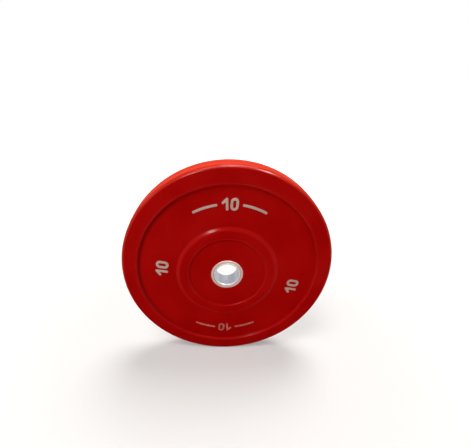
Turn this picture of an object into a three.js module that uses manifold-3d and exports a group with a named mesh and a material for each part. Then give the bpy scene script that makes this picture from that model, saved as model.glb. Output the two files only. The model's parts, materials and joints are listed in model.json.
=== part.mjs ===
// A rubber bumper plate on its steel hub, standing on its tread.
// Millimetres, +Z up. The plate's axis lies along Y and its front face looks towards -Y.
// The origin is the middle of the bore, halfway between the two faces.
import * as THREE from 'three';
import { mergeVertices } from 'three/addons/utils/BufferGeometryUtils.js';
import Module from 'manifold-3d';

// The plate over all. Its thickness is measured across the two rim faces.
const plateDiameter = 450;
const plateThickness = 45;
const treadEdgeRadius = 6;

// The relief of a face, from the rim inwards: web, crest ring and dish.
// The rim is measured from the tread to the middle of its step's slope, and the other two steps
// have their diameters there. A drop is measured down from the rim face.
const rimWidth = 34.5;
const rimStepWidth = 6;
const webDrop = 4.5;
const crestStepDiameter = 212.8;
const crestStepWidth = 8;
const crestDrop = 1;
const dishStepDiameter = 166.2;
const dishStepWidth = 6;
const dishDrop = 3.6;

// The steel bush. Its neck at each end carries a hub ring, which seats on the shoulder.
const boreDiameter = 50.4;
const boreChamfer = 1;
const neckWall = 3.6;
const neckChamfer = 0.5;
const shoulderWidth = 2.7;

// The steel ring at each face, which stands a little proud of the dish.
const hubRingDiameter = 69.5;
const hubRingThickness = 4;
const hubRingStand = 0.4;
const hubRingChamfer = 0.8;

// The steel disc buried in the rubber, which keys through its ring of holes. They lie midway between
// the disc's bore and its edge, and a wall of steel is left on both sides of each.
const anchorDiameter = 124;
const anchorThickness = 4;
const anchorHoleWall = 8.1;
const anchorHoleCount = 8;

// The pale inlays let into each web: their depth in the rubber and their stand above it.
const inlayDepth = 1.6;
const inlayStand = 1;

// The pair of numerals at the left and at the right, both read upwards along a slanting line.
// A place share says how far across the web a mark's middle lies, from the crest to the rim.
const numeralHeight = 26.8;
const numeralStroke = 5.3;
const zeroWidth = 17.2;
const flagRun = 8.6;
const flagDrop = 7.6;
const numeralGap = 4.7;
const leftPairPlaceShare = 0.39;
const rightPairPlaceShare = 0.51;
const leftPairDegrees = 174;
const rightPairDegrees = 348;
const pairReadingDegrees = 81;

// The mark at the top and at the bottom: the same numerals, smaller, between two curved bars.
const arcNumeralHeight = 24;
const arcMarkPlaceShare = 0.58;
const barLength = 50;
const barGap = 8;

// Room left between neighbours, and how far a cutter runs past what it cuts.
const seatGap = 0.3;
const overrun = 1;

// How finely round shapes are drawn. An arc in an outline gets twice outlineSteps.
const turnSteps = 96;
const edgeSteps = 3;
const holeSteps = 16;
const outlineSteps = 3;

const plateRadius = plateDiameter / 2;
const rimStepDiameter = plateDiameter - 2 * rimWidth;
const webOuterRadius = (rimStepDiameter - rimStepWidth) / 2;
const webInnerRadius = (crestStepDiameter + crestStepWidth) / 2;
const webWidth = webOuterRadius - webInnerRadius;
const leftPairRadius = webInnerRadius + leftPairPlaceShare * webWidth;
const rightPairRadius = webInnerRadius + rightPairPlaceShare * webWidth;
const arcMarkRadius = webInnerRadius + arcMarkPlaceShare * webWidth;
const rimHeight = plateThickness / 2;
const dishHeight = rimHeight - dishDrop;
const webHeight = rimHeight - webDrop;
const hubHeight = dishHeight + hubRingStand;
const ringSeatHeight = hubHeight - hubRingThickness;
const boreRadius = boreDiameter / 2;
const neckRadius = boreRadius + neckWall;
const bushRadius = neckRadius + shoulderWidth;
const hubRingRadius = hubRingDiameter / 2;
const anchorRadius = anchorDiameter / 2;
const anchorBoreRadius = bushRadius + seatGap;
const anchorHoleCircleRadius = (anchorBoreRadius + anchorRadius) / 2;
const anchorHoleRadius = (anchorRadius - anchorBoreRadius) / 2 - anchorHoleWall;

const materials = {
  rubber: new THREE.MeshStandardMaterial({ color: 0xa80606, roughness: 0.4, metalness: 0 }),
  inlay: new THREE.MeshStandardMaterial({ color: 0xe9e2d8, roughness: 0.55, metalness: 0 }),
  steel: new THREE.MeshStandardMaterial({ color: 0xc2c6cc, roughness: 0.3, metalness: 1 }),
  plainSteel: new THREE.MeshStandardMaterial({ color: 0x8f9296, roughness: 0.5, metalness: 1 }),
};

const wasm = await Module();
wasm.setup();

// Turns a closed geometry into a solid that can be cut and joined.
function solidFrom(geometry) {
  const bare = geometry.clone();
  bare.deleteAttribute('normal');
  bare.deleteAttribute('uv');
  const merged = mergeVertices(bare);
  return new wasm.Manifold(new wasm.Mesh({
    numProp: 3,
    vertProperties: merged.attributes.position.array,
    triVerts: new Uint32Array(merged.index.array),
  }));
}

// Gives the geometry of a solid.
function geometryFrom(solid) {
  const { vertProperties, triVerts } = solid.getMesh();
  const geometry = new THREE.BufferGeometry();
  geometry.setAttribute('position', new THREE.BufferAttribute(vertProperties, 3));
  geometry.setIndex(new THREE.BufferAttribute(triVerts, 1));
  geometry.computeVertexNormals();
  return geometry;
}

// Turns a closed outline of [radius, height] points about Y. The outline runs outwards along its
// lower side and inwards along its upper side. The flats of the turned shape, not its corners, lie
// at the radii given, so a bore is as wide and a tread as high as its radius says, with one flat at
// the very bottom.
function turned(outline) {
  const points = outline.map(
    ([radius, height]) => new THREE.Vector2(radius / Math.cos(Math.PI / turnSteps), height),
  );
  points.push(points[0].clone());
  return new THREE.LatheGeometry(points, turnSteps, Math.PI / turnSteps);
}

// Completes an outline whose upper half runs inwards with the same half upside down.
function mirrored(upperHalf) {
  const lowerHalf = upperHalf.map(([radius, height]) => [radius, -height]).reverse();
  return [...lowerHalf, ...upperHalf];
}

// The two ends of a slope whose middle lies at the given diameter, from the outside in.
function slope(diameter, width, outerHeight, innerHeight) {
  return [
    [(diameter + width) / 2, outerHeight],
    [(diameter - width) / 2, innerHeight],
  ];
}

// The rounded corner between the tread and the rim face, from the tread inwards.
function treadEdge() {
  return Array.from({ length: edgeSteps + 1 }, (_, step) => {
    const turn = (step / edgeSteps) * (Math.PI / 2);
    return [
      plateRadius - treadEdgeRadius * (1 - Math.cos(turn)),
      rimHeight - treadEdgeRadius * (1 - Math.sin(turn)),
    ];
  });
}

// A cylinder along Y on the anchor disc's circle of holes, number index of the ring.
function holeCylinder(radius, length, index) {
  const turn = (index / anchorHoleCount) * 2 * Math.PI;
  const cylinder = new THREE.CylinderGeometry(radius, radius, length, holeSteps);
  return cylinder.translate(
    anchorHoleCircleRadius * Math.cos(turn),
    0,
    anchorHoleCircleRadius * Math.sin(turn),
  );
}

// The moulded rubber: one turned ring with a seat for all the steel, joined through the anchor
// disc's holes by short plugs, and with a pocket for each inlay.
function rubberBody(pockets) {
  const cavityHeight = anchorThickness / 2 + seatGap;
  const ring = turned(mirrored([
    ...treadEdge(),
    ...slope(rimStepDiameter, rimStepWidth, rimHeight, webHeight),
    ...slope(crestStepDiameter, crestStepWidth, webHeight, rimHeight - crestDrop),
    ...slope(dishStepDiameter, dishStepWidth, rimHeight - crestDrop, dishHeight),
    [hubRingRadius + seatGap, dishHeight],
    [hubRingRadius + seatGap, ringSeatHeight - seatGap],
    [bushRadius + seatGap, ringSeatHeight - seatGap],
    [bushRadius + seatGap, cavityHeight],
    [anchorRadius + seatGap, cavityHeight],
  ]));
  let body = solidFrom(ring);
  for (let index = 0; index < anchorHoleCount; index += 1) {
    const plug = holeCylinder(anchorHoleRadius - seatGap, 2 * (cavityHeight + overrun), index);
    body = body.add(solidFrom(plug));
  }
  for (const pocket of pockets) {
    body = body.subtract(pocket);
  }
  return geometryFrom(body);
}

// The steel bush, with a chamfer at each mouth of the bore and a shoulder behind each neck.
function hubSleeve() {
  return turned(mirrored([
    [bushRadius, ringSeatHeight - seatGap],
    [neckRadius, ringSeatHeight - seatGap],
    [neckRadius, hubHeight - neckChamfer],
    [neckRadius - neckChamfer, hubHeight],
    [boreRadius + boreChamfer, hubHeight],
    [boreRadius, hubHeight - boreChamfer],
  ]));
}

// The flange ring at the +Y end of the bush. Its inner chamfer leaves a fine groove round the neck.
function hubRing() {
  const innerRadius = neckRadius + seatGap;
  return turned([
    [innerRadius, ringSeatHeight],
    [hubRingRadius, ringSeatHeight],
    [hubRingRadius, hubHeight - hubRingChamfer],
    [hubRingRadius - hubRingChamfer, hubHeight],
    [innerRadius + neckChamfer, hubHeight],
    [innerRadius, hubHeight - neckChamfer],
  ]);
}

// The disc that anchors the bush in the rubber.
function anchorDisc() {
  let disc = solidFrom(turned(mirrored([
    [anchorRadius, anchorThickness / 2],
    [anchorBoreRadius, anchorThickness / 2],
  ])));
  for (let index = 0; index < anchorHoleCount; index += 1) {
    const hole = holeCylinder(anchorHoleRadius, anchorThickness + 2 * overrun, index);
    disc = disc.subtract(solidFrom(hole));
  }
  return geometryFrom(disc);
}

// The sizes of a numeral of the given height, in the proportions of the large ones.
function numeralSizes(height) {
  const share = height / numeralHeight;
  const stroke = numeralStroke * share;
  const run = flagRun * share;
  return {
    height,
    stroke,
    run,
    drop: flagDrop * share,
    zeroWidth: zeroWidth * share,
    oneWidth: run + stroke,
    gap: numeralGap * share,
  };
}

function extruded(shape, depth) {
  return new THREE.ExtrudeGeometry(shape, {
    depth,
    bevelEnabled: false,
    curveSegments: outlineSteps,
  });
}

// A straight stroke with round ends between two points.
function strokeShape(start, end, halfWidth) {
  const turn = Math.atan2(end.y - start.y, end.x - start.x);
  const shape = new THREE.Shape();
  shape.absarc(end.x, end.y, halfWidth, turn - Math.PI / 2, turn + Math.PI / 2);
  shape.absarc(start.x, start.y, halfWidth, turn + Math.PI / 2, turn + (3 * Math.PI) / 2);
  return shape;
}

// A numeral one: a stem, and a flag falling back from its top. The middle of its width is at 0.
// Here and in the next two, grow widens the outline all round, for the pocket.
function oneSolid(sizes, depth, grow) {
  const halfStroke = sizes.stroke / 2;
  const stemX = sizes.oneWidth / 2 - halfStroke;
  const top = new THREE.Vector2(stemX, sizes.height / 2 - halfStroke);
  const foot = new THREE.Vector2(stemX, -top.y);
  const flagEnd = new THREE.Vector2(stemX - sizes.run, top.y - sizes.drop);
  const stem = extruded(strokeShape(foot, top, halfStroke + grow), depth);
  const flag = extruded(strokeShape(flagEnd, top, halfStroke + grow), depth);
  return solidFrom(stem).add(solidFrom(flag));
}

// A numeral zero: a ring with straight flanks and round ends.
function zeroSolid(sizes, depth, grow) {
  const outerRadius = sizes.zeroWidth / 2;
  const flank = sizes.height / 2 - outerRadius;
  const top = new THREE.Vector2(0, flank);
  const foot = new THREE.Vector2(0, -flank);
  const shape = strokeShape(foot, top, outerRadius + grow);
  shape.holes.push(strokeShape(foot, top, outerRadius - sizes.stroke - grow));
  return solidFrom(extruded(shape, depth));
}

// A bar with round ends that bends round the plate's middle, between two angles.
function barSolid(radius, startTurn, endTurn, width, depth, grow) {
  const halfWidth = width / 2 + grow;
  const shape = new THREE.Shape();
  const cap = (turn, from) => shape.absarc(
    radius * Math.cos(turn),
    radius * Math.sin(turn),
    halfWidth,
    from,
    from + Math.PI,
  );
  shape.absarc(0, 0, radius + halfWidth, startTurn, endTurn);
  cap(endTurn, endTurn);
  shape.absarc(0, 0, radius - halfWidth, endTurn, startTurn, true);
  cap(startTurn, startTurn + Math.PI);
  return solidFrom(extruded(shape, depth));
}

// The pair of numerals 10 on a straight line, its middle at a radius and an angle of the face.
function straightPair(place, radius, degrees) {
  const sizes = numeralSizes(numeralHeight);
  const turn = THREE.MathUtils.degToRad(degrees);
  const reading = THREE.MathUtils.degToRad(pairReadingDegrees);
  const halfPair = (sizes.oneWidth + sizes.gap + sizes.zeroWidth) / 2;
  const at = (along) => ({
    x: radius * Math.cos(turn) + along * Math.cos(reading),
    y: radius * Math.sin(turn) + along * Math.sin(reading),
    turn: reading,
  });
  return [
    {
      name: `${place}_one`,
      solid: (depth, grow) => oneSolid(sizes, depth, grow),
      ...at(sizes.oneWidth / 2 - halfPair),
    },
    {
      name: `${place}_zero`,
      solid: (depth, grow) => zeroSolid(sizes, depth, grow),
      ...at(halfPair - sizes.zeroWidth / 2),
    },
  ];
}

// The mark at the top, or turned half round at the bottom: a bar, 1, 0 and a bar on one arc.
// Its pieces are read clockwise, with their tops away from the hub.
function arcMark(place, degrees) {
  const sizes = numeralSizes(arcNumeralHeight);
  const middle = THREE.MathUtils.degToRad(degrees);
  const halfPair = (sizes.oneWidth + sizes.gap + sizes.zeroWidth) / 2;
  const at = (along) => {
    const turn = middle - along / arcMarkRadius;
    return {
      x: arcMarkRadius * Math.cos(turn),
      y: arcMarkRadius * Math.sin(turn),
      turn: turn - Math.PI / 2,
    };
  };
  const barTurns = [
    (halfPair + barGap + sizes.stroke / 2) / arcMarkRadius,
    (halfPair + barGap + barLength - sizes.stroke / 2) / arcMarkRadius,
  ];
  const bar = (name, startTurn, endTurn) => ({
    name: `${place}_${name}`,
    solid: (depth, grow) => barSolid(arcMarkRadius, startTurn, endTurn, sizes.stroke, depth, grow),
    x: 0,
    y: 0,
    turn: 0,
  });
  return [
    bar('start_bar', middle + barTurns[0], middle + barTurns[1]),
    {
      name: `${place}_one`,
      solid: (depth, grow) => oneSolid(sizes, depth, grow),
      ...at(sizes.oneWidth / 2 - halfPair),
    },
    {
      name: `${place}_zero`,
      solid: (depth, grow) => zeroSolid(sizes, depth, grow),
      ...at(halfPair - sizes.zeroWidth / 2),
    },
    bar('end_bar', middle - barTurns[1], middle - barTurns[0]),
  ];
}

// The marks of one face, and the pockets that hold them. Inside the returned group X runs to the
// reader's right, Y up and Z out of the face, from the floor of the pockets.
function faceMarks(face, halfTurns) {
  const side = new THREE.Group();
  side.rotation.z = halfTurns * Math.PI;
  const plane = new THREE.Group();
  plane.position.y = inlayDepth - webHeight;
  plane.rotation.x = Math.PI / 2;
  side.add(plane);
  const marks = [
    ...straightPair('left', leftPairRadius, leftPairDegrees),
    ...straightPair('right', rightPairRadius, rightPairDegrees),
    ...arcMark('top', 90),
    ...arcMark('bottom', 270),
  ];
  const pockets = marks.map(({ name, solid, x, y, turn }) => {
    const inlay = solid(inlayDepth - seatGap + inlayStand, 0);
    const piece = new THREE.Mesh(geometryFrom(inlay), materials.inlay);
    piece.name = `${face}_${name}`;
    piece.position.set(x, y, seatGap);
    piece.rotation.z = turn;
    plane.add(piece);
    piece.updateWorldMatrix(true, false);
    const pocket = geometryFrom(solid(inlayDepth + overrun, seatGap));
    pocket.translate(0, 0, -seatGap);
    pocket.applyMatrix4(piece.matrixWorld);
    return solidFrom(pocket);
  });
  return { side, pockets };
}

function namedMesh(name, geometry, material) {
  const mesh = new THREE.Mesh(geometry, material);
  mesh.name = name;
  return mesh;
}

const front = faceMarks('front', 0);
const back = faceMarks('back', 1);
const frontRing = namedMesh('front_hub_ring', hubRing(), materials.steel);
frontRing.rotation.z = Math.PI;

const bumperPlate = new THREE.Group();
bumperPlate.add(
  namedMesh('rubber_body', rubberBody([...front.pockets, ...back.pockets]), materials.rubber),
  namedMesh('hub_sleeve', hubSleeve(), materials.steel),
  frontRing,
  namedMesh('back_hub_ring', hubRing(), materials.steel),
  namedMesh('anchor_disc', anchorDisc(), materials.plainSteel),
  front.side,
  back.side,
);

export default bumperPlate;
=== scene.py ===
import json

import bpy
import numpy as np
from mathutils import Matrix, Vector

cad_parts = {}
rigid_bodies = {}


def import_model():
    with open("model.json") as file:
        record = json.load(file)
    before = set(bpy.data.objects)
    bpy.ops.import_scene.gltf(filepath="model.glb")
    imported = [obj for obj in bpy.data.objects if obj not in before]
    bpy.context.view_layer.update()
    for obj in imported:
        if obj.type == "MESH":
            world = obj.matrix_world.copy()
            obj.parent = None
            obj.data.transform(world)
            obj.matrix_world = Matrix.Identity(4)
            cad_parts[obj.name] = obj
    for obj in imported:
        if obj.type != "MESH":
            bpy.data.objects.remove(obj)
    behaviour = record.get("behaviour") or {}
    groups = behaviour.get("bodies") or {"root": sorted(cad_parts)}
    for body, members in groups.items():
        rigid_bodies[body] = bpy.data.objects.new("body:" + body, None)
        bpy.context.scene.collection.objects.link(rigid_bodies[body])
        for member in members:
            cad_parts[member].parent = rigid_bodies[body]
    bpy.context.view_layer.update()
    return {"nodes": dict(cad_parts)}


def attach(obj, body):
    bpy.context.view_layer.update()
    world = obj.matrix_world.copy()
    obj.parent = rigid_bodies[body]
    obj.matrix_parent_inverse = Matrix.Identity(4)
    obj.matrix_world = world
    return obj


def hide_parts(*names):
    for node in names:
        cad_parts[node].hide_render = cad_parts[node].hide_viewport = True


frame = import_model()
print("frame loaded:", len(frame["nodes"]), "nodes")

mm = 0.001  # shapes are worked out in millimetres and go into their meshes in metres


# A half cosine: 0 up to share -1/2, 1 from share +1/2 on, and a smooth climb between them.
def softStep(share):
    return 0.5 + 0.5 * np.sin(np.pi * np.clip(share, -0.5, 0.5))


# The direction (cos t, sin t) of an angle t in degrees.
def direction(degrees):
    return np.array([np.cos(np.radians(degrees)), np.sin(np.radians(degrees))])


# Points on an arc: centre + radius * (cos t, sin t), t spread evenly between two angles in degrees.
def arcPoints(centre, radius, start, end, count=24):
    return np.asarray(centre) + radius * direction(np.linspace(start, end, count)).T


# A closed line with its points spread evenly: each lies at a whole share of the line's length.
def evenly(line, spacing):
    ring = np.concatenate([line, line[:1]])
    along = np.concatenate([[0], np.cumsum(np.linalg.norm(np.diff(ring, axis=0), axis=1))])
    places = np.linspace(0, along[-1], round(along[-1] / spacing), endpoint=False)
    return np.stack([np.interp(places, along, ring[:, axis]) for axis in (0, 1)], axis=1)


# Outward normals of a closed line that runs counter-clockwise: the direction from the point before
# to the point after, turned a quarter clockwise.
def outwards(line):
    ahead = np.roll(line, -1, axis=0) - np.roll(line, 1, axis=0)
    return np.stack([ahead[:, 1], -ahead[:, 0]], axis=1) / np.linalg.norm(ahead, axis=1)[:, None]


# Each corner c of a closed line gives way to the curve (1-t)^2 a + 2t(1-t) c + t^2 b, where a and b
# lie a reach before and after it. One more point stands on each straight side, the beside share of
# the reach from the corner, so that the smooth shading of the curve stays off the side.
def softCorners(corners, reach, steps=5, beside=1.3):
    corners, reach = np.asarray(corners, float), np.broadcast_to(reach, len(corners))[:, None, None]
    back = np.roll(corners, 1, axis=0) - corners
    ahead = np.roll(corners, -1, axis=0) - corners
    back = (back / np.linalg.norm(back, axis=1)[:, None])[:, None] * reach
    ahead = (ahead / np.linalg.norm(ahead, axis=1)[:, None])[:, None] * reach
    t = np.linspace(0, 1, steps + 1)[None, :, None]
    curve = (1 - t) ** 2 * back + t**2 * ahead
    offsets = np.concatenate([beside * back, curve, beside * ahead], axis=1)
    return (corners[:, None] + offsets).reshape(-1, 2)


# The same profile with its halves alike: the upper half, and before it the lower one, upside down.
def mirrored(upperHalf):
    upperHalf = np.asarray(upperHalf, float)
    return np.concatenate([upperHalf[::-1] * (1, -1), upperHalf])


# Quads between the points of a grid, numbered row by row. Its columns always close on themselves,
# and its rows do where asked.
def gridQuads(rows, columns, closeRows):
    row, column = np.meshgrid(
        np.arange(rows if closeRows else rows - 1), np.arange(columns), indexing="ij"
    )
    nextRow, nextColumn = (row + 1) % rows, (column + 1) % columns
    corners = [(row, column), (row, nextColumn), (nextRow, nextColumn), (nextRow, column)]
    return np.stack([r * columns + c for r, c in corners], axis=-1).reshape(-1, 4)


# Puts points in millimetres and faces in a mesh, as whole arrays. Caps are single faces with many
# corners. The faces look inwards if the volume that they enclose, a sixth of the sum of
# a . (b x c) over their triangles, is negative, and then all of them are turned over.
def putMesh(name, points, quads, caps=(), marks=None):
    fans = [quads[:, [0, 1, 2]], quads[:, [0, 2, 3]]]
    fans += [np.stack([np.full(len(cap) - 2, cap[0]), cap[1:-1], cap[2:]], axis=1) for cap in caps]
    a, b, c = points[np.concatenate(fans)].transpose(1, 0, 2)
    if np.sum(a * np.cross(b, c)) < 0:
        quads, caps = quads[:, ::-1], [cap[::-1] for cap in caps]
    loops = np.concatenate([quads.ravel(), *caps]).astype(np.int32)
    sizes = np.array([4] * len(quads) + [len(cap) for cap in caps], np.int32)
    mesh = bpy.data.meshes.new(name)
    mesh.vertices.add(len(points))
    mesh.vertices.foreach_set("co", (points * mm).astype(np.float32).ravel())
    mesh.loops.add(len(loops))
    mesh.loops.foreach_set("vertex_index", loops)
    mesh.polygons.add(len(sizes))
    mesh.polygons.foreach_set("loop_start", np.cumsum(sizes, dtype=np.int32) - sizes)
    mesh.update(calc_edges=True)
    mesh.polygons.foreach_set("use_smooth", np.ones(len(sizes), bool))
    for mark, values in (marks or {}).items():
        layer = mesh.attributes.new(mark, "FLOAT", "POINT")
        layer.data.foreach_set("value", np.asarray(values, np.float32))
    mesh.validate()
    return mesh


# A piece of the object: it rides on the body, stands for a CAD node and takes a slot's finish.
def addPiece(node, mesh, material):
    piece = bpy.data.objects.new("dressed_" + node, mesh)
    bpy.context.scene.collection.objects.link(piece)
    mesh.materials.append(material)
    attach(piece, "root")
    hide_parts(node)
    return piece


# Turns a closed profile of (radius, height) points about the Y axis:
# (radius * cos t, height, radius * sin t), with t spread evenly over a full turn.
def turnedMesh(name, profile, turnSteps, marks):
    turns = np.linspace(0, 2 * np.pi, turnSteps, endpoint=False)
    radius, height = profile[:, :1], profile[:, 1:]
    grid = [radius * np.cos(turns), height + 0 * turns, radius * np.sin(turns)]
    points = np.stack(grid, axis=-1).reshape(-1, 3)
    spread = {mark: np.repeat(values, turnSteps) for mark, values in marks.items()}
    return putMesh(name, points, gridQuads(len(profile), turnSteps, True), marks=spread)


# How sharply a closed profile bends near each point, in radians: the turning of its line, summed
# round the point with the weight exp(-(distance / width)^2). Outer edges count as positive.
def bendAround(profile, width):
    ahead = np.roll(profile, -1, axis=0) - profile
    length = np.linalg.norm(ahead, axis=1)
    heading = np.arctan2(ahead[:, 1], ahead[:, 0])
    turning = (heading - np.roll(heading, 1) + np.pi) % (2 * np.pi) - np.pi
    along = np.cumsum(length) - length
    apart = np.abs(along[:, None] - along[None, :])
    apart = np.minimum(apart, length.sum() - apart)
    return np.exp(-((apart / width) ** 2)) @ turning


# Sets a socket to a value, or links another node's output to it.
def plug(tree, socket, value):
    if isinstance(value, bpy.types.NodeSocket):
        tree.links.new(value, socket)
    else:
        socket.default_value = value


# Adds a node: sockets are its inputs by name or number, and the rest are its own settings.
def addNode(tree, kind, sockets, **settings):
    node = tree.nodes.new("ShaderNode" + kind)
    for setting, value in settings.items():
        setattr(node, setting, value)
    for name, value in sockets.items():
        plug(tree, node.inputs[name], value)
    return node


# A material with one Principled shader, whose uniform values stand on its own sockets.
def newMaterial(name, sockets):
    material = bpy.data.materials.new(name)
    material.use_nodes = True
    shader = material.node_tree.nodes["Principled BSDF"]
    for socket, value in sockets.items():
        shader.inputs[socket].default_value = value
    return material, material.node_tree, shader


# Cloud noise between 0 and 1, with a mean of about a half. Its cell is in millimetres.
def clouds(tree, place, cell, detail, roughness):
    sockets = {"Vector": place, "Scale": 1 / (cell * mm), "Detail": detail, "Roughness": roughness}
    return addNode(tree, "TexNoise", sockets).outputs[0]


# From 0 to the top, and held between them: top * s * s * (3 - 2s), where s is the share that a
# value has climbed from low to high.
def climb(tree, value, low, high, top=1.0):
    sockets = {"Value": value, "From Min": low, "From Max": high, "To Min": 0.0, "To Max": top}
    return addNode(tree, "MapRange", sockets, interpolation_type="SMOOTHSTEP").outputs[0]


# One number from one or two, such as their difference.
def number(tree, operation, first, second=0.0):
    return addNode(tree, "Math", {0: first, 1: second}, operation=operation).outputs[0]


# The product of two numbers.
def times(tree, first, second):
    return number(tree, "MULTIPLY", first, second)


# A number with shares of others added: base + the sum of each part's value * weight.
def weighted(tree, base, *parts):
    for value, weight in parts:
        sockets = {0: value, 1: weight, 2: base}
        base = addNode(tree, "Math", sockets, operation="MULTIPLY_ADD").outputs[0]
    return base


# One vector from two, such as their product or sum.
def vector(tree, operation, first, second):
    return addNode(tree, "VectorMath", {0: first, 1: second}, operation=operation).outputs[0]


# The length of a vector.
def lengthOf(tree, place):
    return addNode(tree, "VectorMath", {0: place}, operation="LENGTH").outputs["Value"]


# A vector's part along one axis.
def partAlong(tree, place, axis):
    return addNode(tree, "SeparateXYZ", {0: place}).outputs[axis]


# A place on the piece itself, in metres.
def ownPlace(tree):
    return addNode(tree, "TexCoord", {}).outputs["Object"]


# A number that the mesh holds for each of its points.
def heldBy(tree, name):
    return addNode(tree, "Attribute", {}, attribute_name=name).outputs["Fac"]


# A colour that goes from the first to the second as the share goes from 0 to 1.
def blended(tree, share, first, second):
    node = addNode(tree, "Mix", {0: share}, data_type="RGBA")
    for place, colour in ((6, first), (7, second)):
        known = isinstance(colour, bpy.types.NodeSocket)
        plug(tree, node.inputs[place], colour if known else (*colour, 1))
    return node.outputs[2]


# Where a point lies on the plate: the place itself in metres, its distance from the axis, and a
# place for turned patterns, (distance, height along the axis, 0), which is pulled a little by the
# place itself, so that no line runs on unchanged for a whole turn.
def platePlaces(tree, pull=0.03):
    place = ownPlace(tree)
    distance = lengthOf(tree, vector(tree, "MULTIPLY", place, (1, 0, 1)))
    sockets = {"X": distance, "Y": partAlong(tree, place, "Y")}
    turned = addNode(tree, "CombineXYZ", sockets).outputs[0]
    pulled = vector(tree, "MULTIPLY", place, (pull, pull, pull))
    return place, distance, vector(tree, "ADD", turned, pulled)


# The share that a distance in metres has climbed from a start to an end in millimetres.
def beyond(tree, distance, start, end):
    return climb(tree, distance, start * mm, end * mm)


# The share of a band between a start and an end in millimetres: 1 inside it, and 0 beyond a soft
# width on both of its sides.
def band(tree, distance, start, end, soft):
    begun = beyond(tree, distance, start - soft, start)
    return number(tree, "SUBTRACT", begun, beyond(tree, distance, end, end + soft))


# Bump from a height in millimetres.
def bumpFrom(tree, height):
    return addNode(tree, "Bump", {"Strength": 1.0, "Distance": mm, "Height": height}).outputs[0]


# In the looks, a noise gives its cell in millimetres, its detail and its roughness. A climb gives
# where it starts and ends and, as a third number, its top where that isn't 1. A band, a shoulder or
# a slope gives where it starts and ends, and a soft width. These, the radii and the heights of the
# bumps are in millimetres.
redRubberLook = {
    "deep": (0.45, 0.0012, 0.0010),
    "plain": (0.50, 0.0018, 0.0012),
    "patchNoise": (70, 3, 0.5),
    "patchRange": (0.35, 0.65),
    "speckNoise": (1.3, 3, 0.6),
    "speckTint": (0.35, 0.75, 0.25),
    # the tread, painted brighter and more orange for the strong light on it, and two paler lines
    # round it, which are painted highlights
    "tread": (0.58, 0.018, 0.004),
    "litTreadShare": 0.8,
    "treadRadii": (218.5, 222.5),
    "treadHighlightLine": (0.61, 0.046, 0.020),
    "highlightLineShare": 0.9,
    "highlightLineBand": (6, 10.5, 8),  # how far each lies from the middle of the tread
    # the shoulders of the steps; the paler colour on the crest's shoulder is a painted highlight
    "crest": (0.64, 0.006, 0.004),
    "crestHighlightShare": 0.35,
    "crestShoulder": (104, 109, 4),
    "rimShoulder": (192, 195, 2.5),
    "dishShoulder": (83.5, 86.5, 1.5),
    # painted shade at the foot of the steps and on the slope of the rim, thickest on the left,
    # where the slopes face away from the light
    "darkTone": (0.22, 0.0020, 0.0015),
    "nookDarkening": (0.1, 0.8),
    "shadePatches": (-0.8, 0.8),
    "shadedSide": (-0.966, 0, 0.259),
    "sideRange": (0.2, 0.95),
    "footShade": (0.25, 0.85),  # how much lies at a foot away from that side, and there
    "slopeShade": 0.40,
    "rimSlope": (190.0, 192.5, 2.0),
    # rubbed edges, and scuffs
    "rubbed": (0.58, 0.020, 0.012),
    "rubNoise": (6, 4, 0.6),
    "rubRange": (0.35, 0.7),
    "rubbedEdge": (0.35, 1.3, 0.6),
    "scuffStretch": (1, 7, 1),
    "scuffNoise": (9, 5, 0.65),
    "scuffRange": (0.60, 0.72),
    "scuffRadii": (196, 215),
    "scuffShare": 0.35,
    "roughness": 0.38,
    "speckDull": (0.3, 0.8, 0.15),
    "scuffRoughness": 0.2,
    # a thin coat gives the sheen: more of it where use has burnished the rubber
    "specular": 0.0,
    "coatIndex": 1.5,
    "coatRoughness": 0.18,
    "coat": 0.039,
    "coatPatches": (-0.6, 1.2),
    "treadCoat": 0.03,
    "edgeCoat": 0.28,
    "coatEdge": (0.3, 1.0),
    "edgeRadii": (205, 215),
    "shoulderCoat": 0.07,
    "scuffCoat": -0.03,
    # heights of the bumps
    "grain": 0.012,
    "waveNoise": (22, 1, 0.5),
    "waves": 0.05,
    "mouldNoise": (1.6, 3, 0.6),
    "mouldLines": 0.006,
    "scuffs": -0.03,
}


# Painted shade on the rubber: darker at the foot of each step and on the slope of the rim, most of
# all on the side away from the light. Side is how nearly a place lies in that direction from the
# axis, and the shade is nook * (least + (most - least) * side) * patches, or slope * side * the
# slope's share where that is more.
def paintedRubberShade(tree, look, place, distance, patches):
    sockets = {0: place, 1: look["shadedSide"]}
    towards = addNode(tree, "VectorMath", sockets, operation="DOT_PRODUCT").outputs["Value"]
    side = climb(tree, number(tree, "DIVIDE", towards, distance), *look["sideRange"])
    least, most = look["footShade"]
    amount = weighted(tree, least, (side, most - least))
    inNook = climb(tree, heldBy(tree, "nook"), *look["nookDarkening"])
    inPatches = climb(tree, patches, *look["shadePatches"])
    onSlope = times(tree, band(tree, distance, *look["rimSlope"]), side)
    atFoot = times(tree, times(tree, inNook, amount), inPatches)
    return number(tree, "MAXIMUM", atFoot, times(tree, onSlope, look["slopeShade"]))
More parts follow.
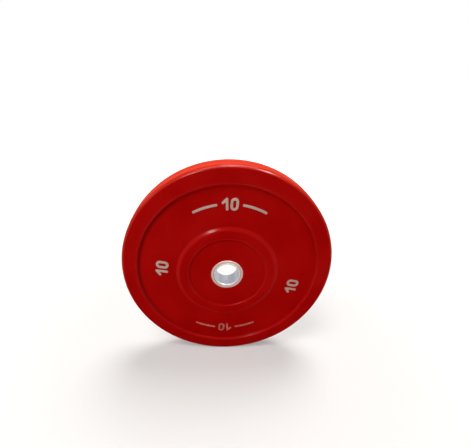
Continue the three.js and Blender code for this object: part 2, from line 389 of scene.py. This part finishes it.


# Moulded red rubber with a satin skin. Its colour drifts in soft patches and is rubbed paler along
# the edges. Light and shade are also painted into it: painted shade at the foot of each step and on
# the slope of the rim, painted highlights on the crest's shoulder and on two paler lines round the
# tread, and a tread painted brighter and more orange for the strong light on it. Its skin has a
# fine grain, slow waves, the turned lines of its mould, and short scuffs that run round the plate
# on the tread and the rims.
def redRubber(look):
    sockets = {
        "Specular IOR Level": look["specular"],
        "Coat IOR": look["coatIndex"],
        "Coat Roughness": look["coatRoughness"],
    }
    material, tree, shader = newMaterial("redRubber", sockets)
    place, distance, turned = platePlaces(tree)
    edge = heldBy(tree, "edge")
    patches = climb(tree, clouds(tree, place, *look["patchNoise"]), *look["patchRange"])
    specks = clouds(tree, place, *look["speckNoise"])
    stretched = vector(tree, "MULTIPLY", place, look["scuffStretch"])
    scuffs = climb(tree, clouds(tree, stretched, *look["scuffNoise"]), *look["scuffRange"])
    scuffed = times(tree, scuffs, beyond(tree, distance, *look["scuffRadii"]))
    rubbing = climb(tree, clouds(tree, place, *look["rubNoise"]), *look["rubRange"])
    rubbed = times(tree, climb(tree, edge, *look["rubbedEdge"]), rubbing)
    paintedShade = paintedRubberShade(tree, look, place, distance, patches)
    onTread = beyond(tree, distance, *look["treadRadii"])
    fromMiddle = number(tree, "ABSOLUTE", partAlong(tree, place, "Y"))
    onHighlightLine = times(tree, onTread, band(tree, fromMiddle, *look["highlightLineBand"]))
    shoulders = ("crestShoulder", "rimShoulder", "dishShoulder")
    onCrest, onRim, onDish = (band(tree, distance, *look[name]) for name in shoulders)

    colour = blended(tree, patches, look["deep"], look["plain"])
    colour = blended(tree, climb(tree, specks, *look["speckTint"]), colour, look["deep"])
    # painted light: the tread brighter and more orange for the strong light on it
    colour = blended(tree, times(tree, onTread, look["litTreadShare"]), colour, look["tread"])
    # painted highlight: two paler lines round the tread
    colour = blended(tree, times(tree, onHighlightLine, look["highlightLineShare"]), colour, look["treadHighlightLine"])
    # painted highlight: the crest's shoulder paler, where it faces the light
    colour = blended(tree, times(tree, onCrest, look["crestHighlightShare"]), colour, look["crest"])
    # painted shade at the foot of the steps and on the slope of the rim
    colour = blended(tree, paintedShade, colour, look["darkTone"])
    colour = blended(tree, rubbed, colour, look["rubbed"])
    colour = blended(tree, times(tree, scuffed, look["scuffShare"]), colour, look["rubbed"])
    plug(tree, shader.inputs["Base Color"], colour)

    dulled = climb(tree, specks, *look["speckDull"])
    parts = (dulled, 1.0), (scuffed, look["scuffRoughness"])
    plug(tree, shader.inputs["Roughness"], weighted(tree, look["roughness"], *parts))

    coat = times(tree, climb(tree, patches, *look["coatPatches"]), look["coat"])
    onRimEdge = beyond(tree, distance, *look["edgeRadii"])
    onEdge = times(tree, climb(tree, edge, *look["coatEdge"]), onRimEdge)
    coat = weighted(
        tree,
        coat,
        (onTread, look["treadCoat"]),
        (onEdge, look["edgeCoat"]),
        (onCrest, look["shoulderCoat"]),
        (onRim, look["shoulderCoat"]),
        (onDish, look["shoulderCoat"]),
        (scuffed, look["scuffCoat"]),
    )
    plug(tree, shader.inputs["Coat Weight"], coat)

    height = weighted(
        tree,
        0.0,
        (specks, look["grain"]),
        (clouds(tree, place, *look["waveNoise"]), look["waves"]),
        (clouds(tree, turned, *look["mouldNoise"]), look["mouldLines"]),
        (scuffed, look["scuffs"]),
    )
    bump = bumpFrom(tree, height)
    plug(tree, shader.inputs["Normal"], bump)
    plug(tree, shader.inputs["Coat Normal"], bump)
    return material


paleRubberLook = {
    "plain": (0.66, 0.50, 0.43),
    "dull": (0.52, 0.37, 0.31),
    "patchNoise": (11, 4, 0.6),
    "patchRange": (0.35, 0.7),
    "patchShare": 0.6,
    "speckNoise": (0.9, 3, 0.6),
    "speckTint": (0.45, 0.8, 0.35),
    "stained": (0.40, 0.10, 0.07),
    "stainFoot": (0.1, 1.0, 0.7),
    "stainSpecks": (0.2, 0.6),
    "redDust": (0.60, 0.06, 0.05),
    "dustHeights": (0.03, -0.15, 0.85),  # from here down to here, in metres
    "dustPatches": (-1.5, 0.6),
    "specular": 0.12,
    "roughness": 0.45,
    "speckDull": (0.3, 0.8, 0.2),
    "grain": 0.014,
    "waveNoise": (8, 1, 0.5),
    "waves": 0.03,
}


# Pale moulded rubber, a little duller in patches, with a stain where it leaves the web. The lower a
# mark stands, the more red dust is rubbed into it.
def paleRubber(look):
    material, tree, shader = newMaterial("paleRubber", {"Specular IOR Level": look["specular"]})
    place = ownPlace(tree)
    patches = climb(tree, clouds(tree, place, *look["patchNoise"]), *look["patchRange"])
    specks = clouds(tree, place, *look["speckNoise"])
    colour = blended(tree, times(tree, patches, look["patchShare"]), look["plain"], look["dull"])
    colour = blended(tree, climb(tree, specks, *look["speckTint"]), colour, look["dull"])
    atFoot = climb(tree, heldBy(tree, "foot"), *look["stainFoot"])
    stain = times(tree, atFoot, climb(tree, specks, *look["stainSpecks"]))
    colour = blended(tree, stain, colour, look["stained"])
    low = climb(tree, partAlong(tree, place, "Z"), *look["dustHeights"])
    dust = times(tree, low, climb(tree, patches, *look["dustPatches"]))
    plug(tree, shader.inputs["Base Color"], blended(tree, dust, colour, look["redDust"]))
    dulled = climb(tree, specks, *look["speckDull"])
    plug(tree, shader.inputs["Roughness"], weighted(tree, look["roughness"], (dulled, 1.0)))
    slow = clouds(tree, place, *look["waveNoise"])
    height = weighted(tree, 0.0, (specks, look["grain"]), (slow, look["waves"]))
    plug(tree, shader.inputs["Normal"], bumpFrom(tree, height))
    return material


hubSteelLook = {
    "wall": (0.43, 0.475, 0.58),
    "neck": (0.45, 0.42, 0.40),
    "neckRadii": (25.25, 25.6),  # from the wall of the bore to the face of the neck
    "face": (0.37, 0.255, 0.228),
    "faceRadii": (28.3, 28.9),  # from the neck to the face of the ring
    "mouth": (0.26, 0.25, 0.26),  # the chamfer of the bore, darkened as painted shade to hold down the lamps' highlight on it
    "mouthBand": (25.3, 26.0, 0.2),
    "mouthShadeShare": 0.85,
    "darkTone": (0.14, 0.11, 0.10),
    "patchNoise": (7, 4, 0.6),
    "patchRange": (0.35, 0.7),
    "patchShare": 0.16,
    "nookDarkening": (0.1, 1.0, 0.9),
    "worn": (0.36, 0.31, 0.29),
    "wornEdge": (0.2, 1.2, 0.6),
    "roughness": 0.26,
    "patchRoughness": 0.16,
    "faceRoughness": 0.34,
    "scoreRoughness": (0.4, 0.8, 0.12),
    "lineNoise": (0.35, 3, 0.6),
    "turnedLines": 0.004,
    "scoreStretch": (1, 0.04, 1),
    "scoreNoise": (0.9, 4, 0.65),
    "scores": 0.010,
}


# Plated turned steel: fine turned lines on the faces, and on the wall of the bore the long scores
# that a sliding bar leaves. The joint and the faces beside it are darker, a dark joint with painted
# shade of its groove, the chamfer of the bore is darkened as painted shade that holds down its
# highlight, and the edges are worn bright.
def hubSteel(look):
    material, tree, shader = newMaterial("hubSteel", {"Metallic": 1.0})
    place, distance, turned = platePlaces(tree)
    offWall = beyond(tree, distance, *look["neckRadii"])
    onWall = number(tree, "SUBTRACT", 1.0, offWall)
    patches = climb(tree, clouds(tree, place, *look["patchNoise"]), *look["patchRange"])
    lines = clouds(tree, turned, *look["lineNoise"])
    stretched = vector(tree, "MULTIPLY", place, look["scoreStretch"])
    scores = clouds(tree, stretched, *look["scoreNoise"])

    worn = climb(tree, heldBy(tree, "edge"), *look["wornEdge"])
    inJoint = climb(tree, heldBy(tree, "nook"), *look["nookDarkening"])
    shadedMouth = times(tree, band(tree, distance, *look["mouthBand"]), look["mouthShadeShare"])
    colour = blended(tree, offWall, look["wall"], look["neck"])
    colour = blended(tree, beyond(tree, distance, *look["faceRadii"]), colour, look["face"])
    colour = blended(tree, times(tree, patches, look["patchShare"]), colour, look["darkTone"])
    colour = blended(tree, worn, colour, look["worn"])
    # darker in the joint: a dark joint with painted shade of its groove
    colour = blended(tree, inJoint, colour, look["darkTone"])
    # painted shade: the chamfer of the bore darker, to hold down its highlight
    plug(tree, shader.inputs["Base Color"], blended(tree, shadedMouth, colour, look["mouth"]))

    roughness = weighted(
        tree,
        look["roughness"],
        (patches, look["patchRoughness"]),
        (climb(tree, scores, *look["scoreRoughness"]), 1.0),
        (offWall, look["faceRoughness"]),
    )
    plug(tree, shader.inputs["Roughness"], roughness)
    height = weighted(
        tree,
        0.0,
        (times(tree, lines, offWall), look["turnedLines"]),
        (times(tree, scores, onWall), look["scores"]),
    )
    plug(tree, shader.inputs["Normal"], bumpFrom(tree, height))
    return material


anchorSteelLook = {
    "plain": (0.50, 0.51, 0.53),
    "dark": (0.27, 0.27, 0.28),
    "patchNoise": (14, 5, 0.65),
    "patchRange": (0.4, 0.65),
    "rusty": (0.30, 0.14, 0.07),
    "rustNoise": (4, 5, 0.7),
    "rustRange": (0.6, 0.75, 0.8),
    "rollStretch": (0.05, 1, 1),
    "rollNoise": (0.8, 3, 0.6),
    "roughness": 0.4,
    "patchRoughness": 0.15,
    "rustRoughness": 0.3,
    "rustHeight": 0.02,
    "rollHeight": 0.006,
}


# Plain rolled steel: dark mill patches, a little rust, and the lines of its rolling.
def anchorSteel(look):
    material, tree, shader = newMaterial("anchorSteel", {"Metallic": 1.0})
    place = ownPlace(tree)
    patches = climb(tree, clouds(tree, place, *look["patchNoise"]), *look["patchRange"])
    rust = climb(tree, clouds(tree, place, *look["rustNoise"]), *look["rustRange"])
    stretched = vector(tree, "MULTIPLY", place, look["rollStretch"])
    rolled = clouds(tree, stretched, *look["rollNoise"])
    colour = blended(tree, patches, look["plain"], look["dark"])
    plug(tree, shader.inputs["Base Color"], blended(tree, rust, colour, look["rusty"]))
    parts = (patches, look["patchRoughness"]), (rust, look["rustRoughness"])
    plug(tree, shader.inputs["Roughness"], weighted(tree, look["roughness"], *parts))
    height = weighted(tree, 0.0, (rust, look["rustHeight"]), (rolled, look["rollHeight"]))
    plug(tree, shader.inputs["Normal"], bumpFrom(tree, height))
    return material


redRubberSkin = redRubber(redRubberLook)
paleRubberSkin = paleRubber(paleRubberLook)
hubSteelSkin = hubSteel(hubSteelLook)
anchorSteelSkin = anchorSteel(anchorSteelLook)
print("materials made")


# All in millimetres. A step is given by the radius of its middle and by its width.
plate = {
    "radius": 225,
    "halfThickness": 22.5,
    "edgeRadius": 6,
    "crown": 0.3,
    "partingRidge": 0.15,
    "partingWidth": 0.5,
    "rimStep": (190.9, 6),
    "webDrop": 4.5,
    "crestStep": (107.0, 9.5),
    "crestDrop": 1,
    "dishStep": (83.1, 6),
    "dishDrop": 3.6,
    "lipGap": 0.12,  # between the lip of the dish and the steel ring
    "lipRadius": 0.6,
    "bendWidth": 2.2,  # how far an edge or a nook reaches
    # rows of points: on the tread as shares of its half height and on its rounded edge in degrees,
    # each as start, end and count, and then the radii of the rows on the rim, web, crest and dish
    "treadRows": ((0.008, 0.07, 7), (0.12, 1, 12)),
    "edgeRows": (6, 90, 13),
    "slopeRows": 15,
    "flatRows": (
        (212, 203, 196),
        np.linspace(182, 116, 9),
        (101, 94, 88),
        (77, 66, 55, 45),
    ),
    "lipRows": (84, 180, 7),  # round the lip of the dish, in degrees
    "seatRow": 0.5,  # one row close to the foot of the lip, for the shading
    "turnSteps": 448,
}

hub = {
    "boreRadius": 25.2,
    "boreChamfer": 1,
    "neckRadius": 28.8,
    "neckChamfer": 0.5,
    "bushRadius": 31.5,
    "ringRadius": 34.75,
    "ringThickness": 4,
    "ringStand": 0.4,
    "ringChamfer": 0.8,
    "anchorRadius": 62,
    "anchorHalfThickness": 2,
    "gap": 0.3,
    "cornerReach": 0.18,
    "bendWidth": 0.4,
    # darkening in the joint, a dark joint with painted shade of its groove: where its middle lies
    # and how wide and deep it reaches, and how much of it lies on the faces
    "darkMiddle": 0.3,
    "darkWidth": 0.7,
    "darkDepth": 0.3,
    "faceDarkening": 0.4,
    "turnSteps": 192,
}
hub["top"] = plate["halfThickness"] - plate["dishDrop"] + hub["ringStand"]
hub["seat"] = hub["top"] - hub["ringThickness"]


# Height of a face at each radius: the rim face, less half cosine steps down to the web, up to the
# crest and down to the dish.
def faceHeight(radius, size):
    def inside(step):
        return softStep((step[0] - radius) / step[1])

    down = size["webDrop"] * inside(size["rimStep"])
    up = (size["webDrop"] - size["crestDrop"]) * inside(size["crestStep"])
    dish = (size["dishDrop"] - size["crestDrop"]) * inside(size["dishStep"])
    return size["halfThickness"] - down + up - dish


# Radii of the rows of points on a face, from the rim inwards: flats with the slopes between them.
# A slope's rows run from middle + width * reach to middle - width * reach, a little past its ends.
def rowRadii(size, reach=0.55):
    rows = [size["flatRows"][0]]
    steps = (size["rimStep"], size["crestStep"], size["dishStep"])
    for (middle, width), flat in zip(steps, size["flatRows"][1:]):
        ends = middle + width * reach, middle - width * reach
        rows += [np.linspace(*ends, size["slopeRows"]), flat]
    return np.concatenate(rows)


# Upper half of the rubber's profile, from the middle of the tread over the face to the hub:
# the tread is radius - crown * (h / edge height)^2 with a bell-shaped ridge where the mould parts,
# then come a quarter circle, the face and a seat for the steel.
def rubberHalf(size, steel):
    edgeHeight = size["halfThickness"] - size["edgeRadius"]
    height = edgeHeight * np.concatenate([np.linspace(*rows) for rows in size["treadRows"]])
    sag = size["crown"] * (height / edgeHeight) ** 2
    ridge = size["partingRidge"] * (np.exp(-((height / size["partingWidth"]) ** 2)) - 1)
    tread = np.stack([size["radius"] - sag + ridge, height], axis=1)
    shoulder = tread[-1, 0] - size["edgeRadius"]
    corner = arcPoints((shoulder, edgeHeight), size["edgeRadius"], *size["edgeRows"])
    radii = rowRadii(size)
    face = np.stack([radii, faceHeight(radii, size)], axis=1)

    wall, seat = steel["ringRadius"] + size["lipGap"], steel["seat"] - steel["gap"]
    dish, lip = size["halfThickness"] - size["dishDrop"], size["lipRadius"]
    bush, slot = steel["bushRadius"] + steel["gap"], steel["anchorHalfThickness"] + steel["gap"]
    inner = [
        (wall, seat + size["seatRow"]),
        (wall, seat),
        (bush, seat),
        (bush, slot),
        (steel["anchorRadius"] + steel["gap"], slot),
    ]
    lipArc = arcPoints((wall + lip, dish - lip), lip, *size["lipRows"])
    return np.concatenate([tread, corner, face, [(wall + 2 * lip, dish)], lipArc, inner])


profile = mirrored(rubberHalf(plate, hub))
bends = bendAround(profile, plate["bendWidth"])
bendMarks = {"edge": np.maximum(bends, 0), "nook": np.maximum(-bends, 0)}
rubber = turnedMesh("rubberBody", profile, plate["turnSteps"], bendMarks)
addPiece("rubber_body", rubber, redRubberSkin)
print("rubber body:", len(rubber.vertices), "points")


# Profile of the bush, seen from its upper end: shoulder, neck, face with two chamfers and bore.
def sleeveHalf(steel):
    shoulder = steel["seat"] - steel["gap"]
    neck, chamfer = steel["neckRadius"], steel["neckChamfer"]
    bore, mouth = steel["boreRadius"], steel["boreChamfer"]
    return [
        (steel["bushRadius"], shoulder),
        (neck, shoulder),
        (neck, steel["top"] - chamfer),
        (neck - chamfer, steel["top"]),
        (bore + mouth, steel["top"]),
        (bore, steel["top"] - mouth),
    ]


# Profile of the ring at the +Y face. The groove round the neck lies between their two chamfers.
def ringProfile(steel):
    inner, outer = steel["neckRadius"] + steel["gap"], steel["ringRadius"]
    top, seat, chamfer = steel["top"], steel["seat"], steel["ringChamfer"]
    return [
        (inner, seat),
        (outer, seat),
        (outer, top - chamfer),
        (outer - chamfer, top),
        (inner + steel["neckChamfer"], top),
        (inner, top - steel["neckChamfer"]),
    ]


# Darkening in the joint, a dark joint with painted shade of its groove: exp(-((offset - middle) /
# width)^2), by how far out a point is from the middle of the groove between neck and ring, times a
# share that grows to 1 with its depth.
def jointDarkening(outline, steel):
    offset = outline[:, 0] - steel["neckRadius"] - steel["gap"] / 2
    across = np.exp(-(((offset - steel["darkMiddle"]) / steel["darkWidth"]) ** 2))
    depth = (steel["top"] - np.abs(outline[:, 1])) / steel["darkDepth"]
    return across * (steel["faceDarkening"] + (1 - steel["faceDarkening"]) * np.clip(depth, 0, 1))


# A turned steel piece. Its points hold how sharply the outline bends outwards, and the darkening of
# the joint, partly painted shade.
def steelMesh(name, outline, steel):
    bends = bendAround(outline, steel["bendWidth"])
    marks = {"edge": np.maximum(bends, 0), "nook": jointDarkening(outline, steel)}
    return turnedMesh(name, outline, steel["turnSteps"], marks)


sleeve = softCorners(mirrored(sleeveHalf(hub)), hub["cornerReach"])
addPiece("hub_sleeve", steelMesh("hubSleeve", sleeve, hub), hubSteelSkin)
backRing = softCorners(ringProfile(hub), hub["cornerReach"])
addPiece("back_hub_ring", steelMesh("backHubRing", backRing, hub), hubSteelSkin)
frontRing = (backRing * (1, -1))[::-1]
addPiece("front_hub_ring", steelMesh("frontHubRing", frontRing, hub), hubSteelSkin)

anchorDisc = frame["nodes"]["anchor_disc"]
anchorDisc.data.materials.clear()
anchorDisc.data.materials.append(anchorSteelSkin)
print("steel hub made")


# Millimetres and degrees. A height of the small numerals scales the whole numeral.
marks = {
    "numeralHeight": 26.8,
    "stroke": 5.3,
    "zeroWidth": 17.2,
    "flagRun": 8.6,
    "flagDrop": 7.6,
    "gap": 4.7,
    "pairs": {"left": (140.47, 174), "right": (149.72, 348)},  # radius and angle of the middle
    "pairReading": 81,
    "smallHeight": 24,
    "arcs": {"top": 90, "bottom": 270},
    "arcRadius": 155.12,
    "barLength": 50,
    "barGap": 8,
    # heights over the plate's middle plane, and the rounding of the upper edge
    "bottom": 16.7,
    "web": 18,
    "top": 19,
    "rounding": 0.7,
    "roundingRows": 6,
    "webRows": (-0.25, 0, 0.12),  # heights over the web of the rows of points near it
    "topInset": 0.35,  # from the rounding to the last row of points
    "footFade": 0.5,  # how far above and below the web the foot of a mark reaches
    "spacing": 0.45,
}


# Sizes of a numeral of the given height, in the proportions of the large one.
def numeralSizes(size, height):
    share = height / size["numeralHeight"]
    names = ("stroke", "zeroWidth", "flagRun", "flagDrop", "gap")
    sizes = {name: size[name] * share for name in names}
    sizes["height"] = height
    sizes["oneWidth"] = sizes["flagRun"] + sizes["stroke"]
    return sizes


# Outline of a numeral one: a stem, and a flag that falls back from its top, each with round ends.
# The sharp corner between them is filled with a small arc.
def oneOutline(sizes, fillet=0.8):
    half = sizes["stroke"] / 2
    stem = sizes["oneWidth"] / 2 - half
    top = np.array([stem, sizes["height"] / 2 - half])
    fall = np.array([-sizes["flagRun"], -sizes["flagDrop"]])
    flagEnd = top + fall
    upper = np.degrees(np.arctan2(fall[1], fall[0])) + 270
    across = -direction(upper)
    away = (half + fillet) * (1 + across[0]) / -fall[0]
    corner = top + away * fall + (half + fillet) * across
    return np.concatenate([
        arcPoints((stem, -top[1]), half, 180, 360),
        arcPoints(top, half, 0, upper),
        arcPoints(flagEnd, half, upper, upper + 180),
        arcPoints(corner, fillet, upper, 0),
    ])


# Outline of a long loop with straight flanks and round ends.
def loopOutline(width, height, count=48):
    flank = (height - width) / 2
    return np.concatenate([
        arcPoints((0, flank), width / 2, 0, 180, count),
        arcPoints((0, -flank), width / 2, 180, 360, count),
    ])


# Outline of a bar with round ends that bends round the plate's middle, between two angles.
def barOutline(radius, width, start, end, count=60):
    half = width / 2
    return np.concatenate([
        arcPoints((0, 0), radius + half, start, end, count),
        arcPoints(radius * direction(end), half, end, end + 180),
        arcPoints((0, 0), radius - half, end, start, count),
        arcPoints(radius * direction(start), half, start + 180, start + 360),
    ])


# The rings of a mark, from its bottom to its rounded shoulder, a quarter circle of t: how far in
# from the outline each lies, rounding * (1 - cos t), and how high, top - rounding * (1 - sin t).
def shoulderRings(size):
    turns = np.radians(np.linspace(0, 90, size["roundingRows"]))
    inset = size["rounding"] * (1 - np.cos(turns))
    height = size["top"] - size["rounding"] * (1 - np.sin(turns))
    low = np.array([size["bottom"], *(size["web"] + np.array(size["webRows"]))])
    insets = np.concatenate([0 * low, inset, [inset[-1] + size["topInset"]]])
    return insets, np.concatenate([low, height, [size["top"]]])


# The points of rings that lie flat on the page, each ring raised to its height, and the share of
# the foot at each point, 1 - |height - web| / fade.
def raisedRings(flat, height, size):
    tall = np.broadcast_to(height[:, None, None], (*flat.shape[:2], 1))
    foot = np.clip(1 - np.abs(height - size["web"]) / size["footFade"], 0, 1)
    return np.concatenate([flat, tall], axis=2).reshape(-1, 3), np.repeat(foot, flat.shape[1])


# A solid mark: rings of its outline, each moved in along the outline's normals and raised, with a
# flat face at the bottom and the top. Gives points, quads, caps and the foot's share per point.
def solidMark(outline, size):
    line = evenly(outline, size["spacing"])
    inset, height = shoulderRings(size)
    flat = line[None] - inset[:, None, None] * outwards(line)[None]
    points, foot = raisedRings(flat, height, size)
    count = len(line)
    caps = [np.arange(count)[::-1], np.arange(count) + count * (len(height) - 1)]
    return points, gridQuads(len(height), count, False), caps, foot


# A ring mark: a band with two rounded shoulders, carried round the loop that runs in its middle.
# A point is the loop's point + offset * normal, raised to its height.
def ringMark(width, height, stroke, size):
    loop = evenly(loopOutline(width - stroke, height - stroke), size["spacing"])
    inset, tall = shoulderRings(size)
    offset = np.concatenate([stroke / 2 - inset, (inset - stroke / 2)[::-1]])
    flat = loop[None] + offset[:, None, None] * outwards(loop)[None]
    points, foot = raisedRings(flat, np.concatenate([tall, tall[::-1]]), size)
    return points, gridQuads(len(offset), len(loop), True), [], foot


# Moves a mark from its own page (x right, y up, z out of it) onto a face of the plate: it is turned
# by an angle in degrees and moved, and then the page's (x, y, z) becomes (x, -z, y) at the front
# and (-x, z, y) at the back.
def onFace(points, face, turn, x, y):
    cosine, sine = direction(turn)
    right = points[:, 0] * cosine - points[:, 1] * sine + x
    up = points[:, 0] * sine + points[:, 1] * cosine + y
    side = 1 if face == "front" else -1
    return np.stack([side * right, -side * points[:, 2], up], axis=1)


# Where the one and the zero of a pair stand along its line, from the middle of the pair.
def pairPlaces(sizes):
    halfPair = (sizes["oneWidth"] + sizes["gap"] + sizes["zeroWidth"]) / 2
    return ("one", sizes["oneWidth"] / 2 - halfPair), ("zero", halfPair - sizes["zeroWidth"] / 2)


# The shape of one numeral: a one is a solid mark, and a zero is a ring mark.
def numeralShape(name, sizes, size):
    if name == "one":
        return solidMark(oneOutline(sizes), size)
    return ringMark(sizes["zeroWidth"], sizes["height"], sizes["stroke"], size)


# All marks of a face, each as its name, its shape and its turn and place on the page. A pair stands
# on a straight line at the left and at the right, and on an arc between two bars at the top and at
# the bottom, where a length along the arc is an angle of length / radius.
def faceMarks(size):
    large, small = (numeralSizes(size, size[name]) for name in ("numeralHeight", "smallHeight"))
    found = []
    for place, (radius, degrees) in size["pairs"].items():
        turn = size["pairReading"]
        for name, along in pairPlaces(large):
            shape = numeralShape(name, large, size)
            spot = radius * direction(degrees) + along * direction(turn)
            found.append((place + "_" + name, shape, turn, *spot))
    for place, degrees in size["arcs"].items():
        for name, along in pairPlaces(small):
            turn = degrees - np.degrees(along / size["arcRadius"])
            shape = numeralShape(name, small, size)
            spot = size["arcRadius"] * direction(turn)
            found.append((place + "_" + name, shape, turn - 90, *spot))
        halfPair = (small["oneWidth"] + small["gap"] + small["zeroWidth"]) / 2
        nearEnd = halfPair + size["barGap"] + small["stroke"] / 2
        farEnd = halfPair + size["barGap"] + size["barLength"] - small["stroke"] / 2
        near, far = np.degrees(np.array([nearEnd, farEnd]) / size["arcRadius"])
        for name, start, end in (("start_bar", near, far), ("end_bar", -far, -near)):
            bar = barOutline(size["arcRadius"], small["stroke"], degrees + start, degrees + end)
            found.append((place + "_" + name, solidMark(bar, size), 0, 0, 0))
    return found


for face in ("front", "back"):
    for name, (points, quads, caps, foot), turn, x, y in faceMarks(marks):
        node = face + "_" + name
        mesh = putMesh(node, onFace(points, face, turn, x, y), quads, caps, {"foot": foot})
        addPiece(node, mesh, paleRubberSkin)
print("marks made")


studio = {
    "floorHeight": -0.225,
    "floorSize": 30,
    "floorColour": (0.55, 0.54, 0.53),
    "floorRoughness": 0.9,
    "fibreNoise": (3, 4, 0.6),
    "fibreShade": 0.96,
    "fibreHeight": 0.05,
    "floorGlow": 0.30,  # near the plate; it grows to 1 further out
    "glowReach": (0.35, 1.6),
    "dome": 0.10,
    # each lamp by name: place, size, watts and colour
    "lamps": {
        "key": ((-1.00, -1.38, 3.62), 1.6, 88, (1.0, 0.98, 0.95)),
        "top": ((0.60, 1.37, 3.71), 2.0, 145, (1.0, 0.99, 0.97)),
        "fill": ((-1.20, -3.34, 1.84), 0.4, 15, (1.0, 0.99, 0.98)),
    },
    # lamps that show only in the sheen
    "sparks": {
        "rightSpark": ((1.90, -1.26, 3.29), 0.45, 350, (1, 1, 1)),
        "overheadSpark": ((0.28, -1.45, 3.71), 0.4, 165, (1, 1, 1)),
        "leftSpark": ((-3.37, -1.00, 1.91), 1.0, 30, (1, 1, 1)),
        "crestSpark": ((-1.20, -3.34, 1.84), 0.6, 105, (1, 1, 1)),
    },
}


# The share of the light's path that shows the background: 1 for what the camera sees, also in
# metal and through glass.
def seenShare(tree):
    path = addNode(tree, "LightPath", {}).outputs
    seen = number(tree, "MAXIMUM", path["Is Camera Ray"], path["Is Glossy Ray"])
    return number(tree, "MAXIMUM", seen, path["Is Transmission Ray"])


# A pale floor. What the camera sees of it is lifted to white by a glow of its own, and the shadow
# stays.
def addFloor(size):
    half = size["floorSize"] / 2
    corners = [(-half, -half), (half, -half), (half, half), (-half, half)]
    mesh = bpy.data.meshes.new("floor")
    mesh.from_pydata([(x, y, size["floorHeight"]) for x, y in corners], [], [(0, 1, 2, 3)])
    floor = bpy.data.objects.new("floor", mesh)
    bpy.context.scene.collection.objects.link(floor)
    sockets = {"Roughness": size["floorRoughness"], "Specular IOR Level": 0.0}
    material, tree, shader = newMaterial("floorPaper", sockets)
    place = ownPlace(tree)
    fibres = clouds(tree, place, *size["fibreNoise"])
    darker = tuple(size["fibreShade"] * part for part in size["floorColour"])
    plug(tree, shader.inputs["Base Color"], blended(tree, fibres, size["floorColour"], darker))
    bump = bumpFrom(tree, times(tree, fibres, size["fibreHeight"]))
    plug(tree, shader.inputs["Normal"], bump)
    shader.inputs["Emission Color"].default_value = (1, 1, 1, 1)
    far = climb(tree, lengthOf(tree, place), *size["glowReach"], 1 - size["floorGlow"])
    glow = times(tree, seenShare(tree), number(tree, "ADD", far, size["floorGlow"]))
    plug(tree, shader.inputs["Emission Strength"], glow)
    mesh.materials.append(material)


# A dim dome that lights the object, and is white where the camera or a mirror sees it.
def addDome(strength):
    world = bpy.data.worlds.new("dome")
    world.use_nodes = True
    bpy.context.scene.world = world
    tree = world.node_tree
    background = tree.nodes["Background"]
    background.inputs["Color"].default_value = (1, 1, 1, 1)
    lift = weighted(tree, strength, (seenShare(tree), 1 - strength))
    plug(tree, background.inputs["Strength"], lift)


# A square lamp that looks at the middle of the plate.
def addLamp(name, place, size, watts, colour):
    light = bpy.data.lights.new(name, "AREA")
    light.size, light.energy, light.color = size, watts, colour
    lamp = bpy.data.objects.new(name, light)
    bpy.context.scene.collection.objects.link(lamp)
    turn = (-Vector(place)).to_track_quat("-Z", "Y").to_matrix().to_4x4()
    lamp.matrix_world = Matrix.Translation(place) @ turn
    return lamp


addFloor(studio)
addDome(studio["dome"])
for name, settings in studio["lamps"].items():
    addLamp(name, *settings)
for name, settings in studio["sparks"].items():
    addLamp(name, *settings).visible_diffuse = False

# The photograph's own camera: place in metres, then turn, tilt and roll in degrees, the lens and
# the width of its sensor in millimetres, and the nearest distance that it sees.
view = {
    "place": (-0.0410, -0.5839, 0.3652),
    "turn": -2.581,
    "tilt": 50.964,
    "roll": 1.626,
    "lens": 23.543,
    "sensor": 36,
    "shift": (0.034, 0.1787),
    "near": 0.02,
}


# A camera at its place, turned by the product of a turn about Z, a tilt about X and a roll about Z.
def addCamera(settings):
    lens = bpy.data.cameras.new("camera")
    lens.sensor_fit, lens.sensor_width = "HORIZONTAL", settings["sensor"]
    lens.lens, lens.clip_start = settings["lens"], settings["near"]
    lens.shift_x, lens.shift_y = settings["shift"]
    camera = bpy.data.objects.new("camera", lens)
    bpy.context.scene.collection.objects.link(camera)
    turn, tilt, roll = (
        Matrix.Rotation(np.radians(settings[name]), 4, axis)
        for name, axis in (("turn", "Z"), ("tilt", "X"), ("roll", "Z"))
    )
    camera.matrix_world = Matrix.Translation(settings["place"]) @ turn @ tilt @ roll
    bpy.context.scene.camera = camera


addCamera(view)
bpy.context.scene.view_settings.view_transform = "Standard"
print("studio and camera set")
